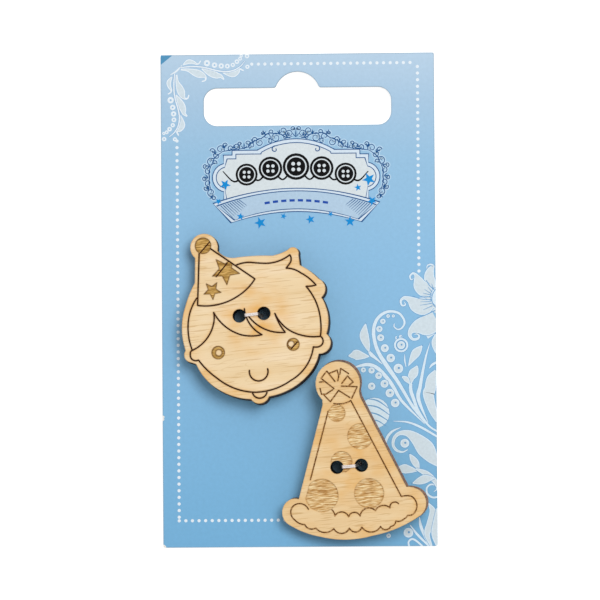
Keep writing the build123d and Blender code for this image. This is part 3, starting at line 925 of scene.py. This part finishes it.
    # Painted shade on the charred wood: the walls of the sewing holes are painted near black.
    in_sewing_holes = add_node(
        tree, "Math", {"operation": "LESS_THAN", 1: holes_reach * mm}, {0: (from_holes, "Value")}
    )
    hole_shaded_wall = add_node(tree, "MixRGB", {"Color2": linear("#120d0a")}, {"Fac": in_sewing_holes, "Color1": wall})
    steep = add_node(tree, "Math", {"operation": "LESS_THAN", 1: 0.5}, {0: (facing, "Value")})
    deep = add_node(tree, "Math", {"operation": "GREATER_THAN", 1: groove_depth * mm}, {0: depth})
    sheer = add_node(tree, "Math", {"operation": "MULTIPLY"}, {0: steep, 1: deep})
    behind = add_node(tree, "Math", {"operation": "LESS_THAN", 1: -0.5}, {0: (facing, "Value")})
    shown = singed
    for mask, tone in ((engraved, engraving_with_rim_shade), (scored, groove), (sheer, hole_shaded_wall), (behind, scorched)):
        shown = add_node(tree, "MixRGB", links={"Fac": mask, "Color1": shown, "Color2": tone})
    grain = add_node(tree, "Bump", {"Strength": 0.2, "Distance": 0.03 * mm}, {"Height": patterns["fibres"]})
    finish = add_node(
        tree,
        "BsdfPrincipled",
        {"Roughness": 0.65, "IOR": 1.5, "Specular IOR Level": 0.12},
        {"Base Color": shown, "Normal": grain},
    )
    add_node(tree, "OutputMaterial", links={"Surface": finish})
    return wood


for design, (middle_x, middle_y, turn, *_) in sewn_places.items():
    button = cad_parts[design + "_button"]
    wood = laser_cut_wood(button, Vector((middle_x, middle_y, holes_level)), turn, *button_tones[design])
    for material_slot in button.material_slots:
        material_slot.material = wood

# Threads: white polyester, taken double through both holes of a button and the card, and knotted behind.
# Each strand is laid up from three plies, with short loose ends behind. Inside the holes the thread is
# painted dark, as painted shade.
button_thickness = 3.0
leg_reach = 1.18
leg_bend = 0.65
foot_rise = 1.1
bridge_reach = 0.6
bridge_rise = 0.3
bridge_crown = 0.05
route_step = 0.09
run_level = 0.5
strand_offset = 0.13
ply_offset = 0.066
ply_radius = 0.078
ply_twist = 0.9
knot_size = 0.2
knot_lift = 0.16
knot_level = 0.375
knot_steps = 78
knot_overlap = 3
knot_ply_offset = 0.09
knot_ply_radius = 0.1
knot_twist = 1.1
tail_runs = (2.2, 2.6)
tail_headings = ((-35, -75), (-160, -110))  # degrees
tail_bend = 0.6
tail_swell = 1.6
filament_size = 0.08  # filaments are finer, and drawn as coarse as they need to show
thread_shade_start, thread_shade_fade = 0.12, 0.4  # above the button's face, and down from there to the darkest painted shade
wall_start, wall_fade = 1.05, 0.15  # out from the middle of the holes
most_thread_shade = 0.95


def spline_line(points, spacing):
    """Evenly spaced points on a smooth spline that a row of points guides."""
    curve = bpy.data.curves.new("thread_route", "CURVE")
    curve.dimensions = "3D"
    spline = curve.splines.new("NURBS")
    spline.points.add(len(points) - 1)
    for control, point in zip(spline.points, points):
        control.co = (*point, 1.0)
    spline.order_u = 3
    spline.use_endpoint_u = True
    spline.resolution_u = 24
    route = bpy.data.objects.new("thread_route", curve)
    read = bpy.data.meshes.new_from_object(route)
    raw = [vertex.co.copy() for vertex in read.vertices]
    bpy.data.objects.remove(route)
    bpy.data.curves.remove(curve)
    bpy.data.meshes.remove(read)
    line = raw[:1]
    for point in raw[1:]:
        while (point - line[-1]).length >= spacing:
            line.append(line[-1] + (point - line[-1]).normalized() * spacing)
    return line


def steady_sides(line):
    """Two sides at each point of a line, carried along it without twist."""
    sides = []
    across = (line[1] - line[0]).orthogonal().normalized()
    for before, after in zip(line[:1] + line, line[1:] + line[-1:]):
        along = (after - before).normalized()
        across = (across - across.dot(along) * along).normalized()
        sides.append((across, along.cross(across)))
    return sides


def wind(line, radius, pitch, start):
    """A line that winds round another one."""
    wound = []
    travelled = 0.0
    for index, (across, beside) in enumerate(steady_sides(line)):
        angle = start + math.tau * travelled / pitch
        wound.append(line[index] + radius * (math.cos(angle) * across + math.sin(angle) * beside))
        if index + 1 < len(line):
            travelled += (line[index + 1] - line[index]).length
    return wound


def spin(thread, line, radius):
    """One ply: a thin tube with six sides and closed ends."""
    rings = []
    for point, (across, beside) in zip(line, steady_sides(line)):
        angles = [math.tau * side / 6 for side in range(6)]
        ring = []
        for angle in angles:
            corner = point + radius * (math.cos(angle) * across + math.sin(angle) * beside)
            ring.append(thread.verts.new(corner * mm))
        rings.append(ring)
    for near, far in pairwise(rings):
        for side in range(6):
            after = (side + 1) % 6
            thread.faces.new((near[side], near[after], far[after], far[side]))
    thread.faces.new(rings[0][::-1])
    thread.faces.new(rings[-1])


# Twisted polyester: fine filaments that catch the light along the plies, a warm white with a faint sheen.
sewing_thread = bpy.data.materials.new("twisted_polyester")
tree = empty_tree(sewing_thread)
surface = add_node(tree, "NewGeometry")
filaments = add_node(
    tree, "TexNoise", {"Scale": 1 / (filament_size * mm), "Detail": 3.0}, {"Vector": surface}
)
thread_tone = add_node(
    tree, "ValToRGB", {"stops": [(0.3, "#e2d6d2"), (0.6, "#f6efec")]}, {"Fac": filaments}
)
# Painted shade: the thread darkens inside the holes, by an attribute set from its depth and reach.
soot = add_node(tree, "Attribute", {"attribute_name": "soot"})
shaded_thread = add_node(
    tree, "MixRGB", {"Color2": linear("#2b2622")}, {"Fac": (soot, "Fac"), "Color1": thread_tone}
)
fuzz = add_node(tree, "Bump", {"Strength": 0.4, "Distance": 0.02 * mm}, {"Height": filaments})
finish = add_node(
    tree,
    "BsdfPrincipled",
    {"Roughness": 0.6, "IOR": 1.55, "Sheen Weight": 0.25, "Sheen Roughness": 0.4},
    {"Base Color": shaded_thread, "Normal": fuzz},
)
add_node(tree, "OutputMaterial", links={"Surface": finish})

for design, (middle_x, middle_y, turn, lean, uphill) in sewn_places.items():
    tilt = Matrix.Rotation(math.radians(uphill), 3, "Z")
    tilt = tilt @ Matrix.Rotation(math.radians(-lean), 3, "Y")
    tilt = tilt @ Matrix.Rotation(math.radians(turn - uphill), 3, "Z")
    up = tilt @ Vector((0, 0, 1))
    beside = tilt @ Vector((0, 1, 0))
    button_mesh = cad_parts[design + "_button"].data
    top = max(up.dot(vertex.co) for vertex in button_mesh.vertices) / mm
    level = (top - button_thickness - up.x * middle_x - up.y * middle_y) / up.z
    middle = Vector((middle_x, middle_y, level)) + button_thickness * up
    left, right = (middle + tilt @ Vector((side * leg_reach, 0, bridge_rise)) for side in (-1, 1))
    crown = bridge_rise + bridge_crown
    inner_left, inner_right = (middle + tilt @ Vector((side * bridge_reach, 0, crown)) for side in (-1, 1))
    left_foot, right_foot = (head - up * ((head.z - run_level) / up.z) for head in (left, right))
    knot_middle = (left_foot + right_foot) / 2
    knot_middle.z = knot_level
    rise = foot_rise * up
    bend = leg_bend * up
    route = [knot_middle, left_foot, left_foot + rise, left - bend, left, inner_left]
    route += [inner_right, right, right - bend, right_foot + rise, right_foot, knot_middle]
    thread = bmesh.new()
    loop = spline_line(route, route_step)
    for side in (-1, 1):
        strand = [point + side * strand_offset * beside for point in loop]
        for ply in range(3):
            spin(thread, wind(strand, ply_offset, ply_twist, math.tau * ply / 3), ply_radius)
    knot = []
    for step in range(knot_steps + knot_overlap):
        angle = math.tau * step / knot_steps
        bight_x = math.sin(angle) + 2 * math.sin(2 * angle)
        bight_y = math.cos(angle) - 2 * math.cos(2 * angle)
        lift = Vector((0, 0, knot_lift * math.sin(3 * angle)))
        knot.append(knot_middle + knot_size * Vector((bight_x, bight_y, 0)) - lift)
    for ply in range(3):
        spin(thread, wind(knot, knot_ply_offset, knot_twist, math.tau * ply / 3), knot_ply_radius)
    for headings in tail_headings:
        tail = [knot_middle]
        for run, heading in zip(tail_runs, headings):
            angle = math.radians(heading)
            tail.append(tail[-1] + run * Vector((math.cos(angle), math.sin(angle), 0)))
        tail_line = spline_line([tail[0], tail[0].lerp(tail[1], tail_bend), tail[1], tail[2]], route_step)
        for ply in range(3):
            wound = wind(tail_line, tail_swell * ply_offset, ply_twist, math.tau * ply / 3)
            spin(thread, wound, tail_swell * ply_radius)
    mesh = bpy.data.meshes.new(design + "_sewing_thread")
    thread.to_mesh(mesh)
    thread.free()
    mesh.polygons.foreach_set("use_smooth", [True] * len(mesh.polygons))
    # Painted shade for the thread inside the holes, but not on the back of the card.
    thread_shades = []
    for vertex in mesh.vertices:
        depth = top - up.dot(vertex.co) / mm
        reach = abs((tilt @ Vector((1, 0, 0))).dot(vertex.co / mm - middle))
        thread_shade_share = max((depth + thread_shade_start) / thread_shade_fade, (reach - wall_start) / wall_fade)
        thread_shades.append(min(most_thread_shade, max(0.0, thread_shade_share)) if vertex.co.z > card_front * mm else 0.0)
    mesh.attributes.new("soot", "FLOAT", "POINT").data.foreach_set("value", thread_shades)
    mesh.materials.append(sewing_thread)
    piece = bpy.data.objects.new(design + "_sewing_thread", mesh)
    bpy.context.scene.collection.objects.link(piece)
    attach(piece, "root")
    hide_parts(design + "_thread")

# Stage: a plain white table that the card lies on, even light from all round and a broad lamp at the upper
# right. The table shows as white, but not under the needle holes, and keeps the card's shadow. The camera
# looks almost straight down.
floor_mesh = bpy.data.meshes.new("table_top")
table_reach = 0.6  # metres
corners = [(x * table_reach, y * table_reach, 0) for x, y in ((-1, -1), (1, -1), (1, 1), (-1, 1))]
floor_mesh.from_pydata(corners, [], [(0, 1, 2, 3)])
table_glow = 0.8
dark_reach = 2.5
studio_light = 0.47
table_top = bpy.data.materials.new("white_table")
tree = empty_tree(table_top)
seen = add_node(tree, "LightPath")
direct = add_node(
    tree, "Math", {"operation": "MAXIMUM"}, {0: (seen, "Is Camera Ray"), 1: (seen, "Is Glossy Ray")}
)
surface = add_node(tree, "NewGeometry")
shown_white = add_node(tree, "Math", {"operation": "MULTIPLY", 1: table_glow}, {0: direct})
for middle_x, middle_y, *_ in sewn_places.values():
    under = add_node(
        tree, "VectorMath", {"operation": "DISTANCE", 1: (middle_x * mm, middle_y * mm, 0)}, {0: surface}
    )
    open_table = add_node(
        tree, "Math", {"operation": "GREATER_THAN", 1: dark_reach * mm}, {0: (under, "Value")}
    )
    open_side = add_node(
        tree, "Math", {"operation": "MAXIMUM"}, {0: open_table, 1: (surface, "Backfacing")}
    )
    shown_white = add_node(tree, "Math", {"operation": "MULTIPLY"}, {0: shown_white, 1: open_side})
matt = add_node(tree, "BsdfDiffuse", {"Color": linear("#c8c8c8")})
lift = add_node(tree, "Emission", {"Color": linear("#ffffff")}, {"Strength": shown_white})
both = add_node(tree, "AddShader", links={0: matt, 1: lift})
add_node(tree, "OutputMaterial", links={"Surface": both})
floor_mesh.materials.append(table_top)
floor = bpy.data.objects.new("table_top", floor_mesh)
bpy.context.scene.collection.objects.link(floor)

world = bpy.data.worlds.new("studio")
bpy.context.scene.world = world
tree = empty_tree(world)
seen = add_node(tree, "LightPath")
direct = add_node(
    tree, "Math", {"operation": "MAXIMUM"}, {0: (seen, "Is Camera Ray"), 1: (seen, "Is Glossy Ray")}
)
clear = add_node(tree, "Math", {"operation": "MAXIMUM"}, {0: direct, 1: (seen, "Is Transmission Ray")})
strength = add_node(tree, "MapRange", {"To Min": studio_light, "To Max": 1.0}, {"Value": clear})
backdrop = add_node(tree, "Background", {"Color": linear("#ffffff")}, {"Strength": strength})
add_node(tree, "OutputWorld", links={"Surface": backdrop})

lamp = bpy.data.lights.new("window_lamp", "AREA")
lamp.shape = "RECTANGLE"
lamp.size = 0.55
lamp.size_y = 0.45
lamp.energy = 6.0
stand = bpy.data.objects.new("window_lamp", lamp)
stand.location = (0.3, 0.26, 0.9)
stand.rotation_euler = (-stand.location).to_track_quat("-Z", "Y").to_euler()
bpy.context.scene.collection.objects.link(stand)

camera = bpy.data.cameras.new("camera")
camera_distance = 0.9
photo_width = 102.86  # mm of the card's front across the picture
camera.sensor_width = 36.0
camera.lens = camera.sensor_width * camera_distance / (photo_width * mm)
camera_turn = Euler([math.radians(angle) for angle in (2.2, 2.5, -0.4)])  # from straight down
viewer = bpy.data.objects.new("camera", camera)
aim = Vector((0.22, -0.02, card_front)) * mm
viewer.location = aim + camera_distance * (camera_turn.to_matrix() @ Vector((0, 0, 1)))
viewer.rotation_euler = camera_turn
bpy.context.scene.collection.objects.link(viewer)
bpy.context.scene.camera = viewer
bpy.context.scene.view_settings.view_transform = "Standard"
